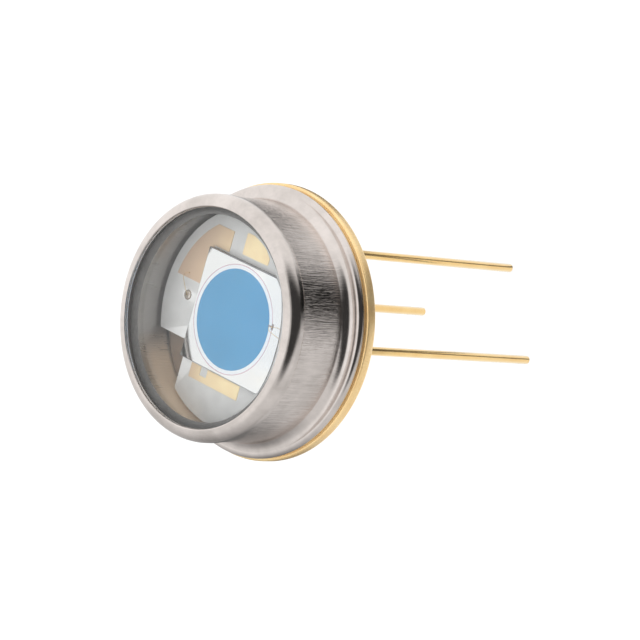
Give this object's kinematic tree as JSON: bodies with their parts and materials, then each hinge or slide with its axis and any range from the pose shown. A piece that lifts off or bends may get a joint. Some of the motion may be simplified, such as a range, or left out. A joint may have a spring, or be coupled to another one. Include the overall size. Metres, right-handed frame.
{
  "type": "photodiode",
  "caption": "Windowed photodiode in a round metal can: gold-plated header with leads, nickel cap with glass window, ceramic substrate and silicon die with a round active area.",
  "frame": {"origin": "centre of the header's seating face, on the can's axis", "axes": "+Z out through the window, +X towards the anode lead, +Y towards the case lead"},
  "size_m": [0.0138, 0.0138, 0.022],
  "materials": {
    "gold_plate": "gold-plated nickel-iron alloy, bright",
    "pad_gold": "thick-film gold, satin",
    "wire_gold": "drawn gold wire",
    "nickel": "nickel-plated drawn steel with fine marks along the axis",
    "weld_metal": "weld bead",
    "window": "clear, flat faces",
    "solder_glass": "fused solder glass",
    "seal_glass": "dark sealing glass",
    "ceramic": "unglazed alumina",
    "adhesive": "filled epoxy film",
    "silicon": "sawn silicon",
    "active_coating": "anti-reflection coating",
    "oxide": "polished oxide over silicon",
    "guard": "thin oxide over a diffused ring",
    "contact_metal": "evaporated metal"
  },
  "bodies": {
    "root": {"header_base": "gold_plate", "glass_seal_anode": "seal_glass", "glass_seal_cathode": "seal_glass", "lead_anode": "gold_plate", "lead_cathode": "gold_plate", "lead_case": "gold_plate", "case_lead_braze": "gold_plate", "weld_ring": "weld_metal", "cap_shell": "nickel", "window_glass": "window", "window_seal": "solder_glass", "ceramic_substrate": "ceramic", "substrate_adhesive": "adhesive", "pad_corner": "pad_gold", "pad_case": "pad_gold", "pad_strip": "pad_gold", "die_pad": "pad_gold", "die_attach": "adhesive", "silicon_die": "silicon", "active_area": "active_coating", "inner_oxide": "oxide", "guard_ring": "guard", "passivation": "oxide", "anode_contact": "contact_metal", "wire_anode": "wire_gold", "wire_cathode": "wire_gold"}
  },
  "joints": []
}
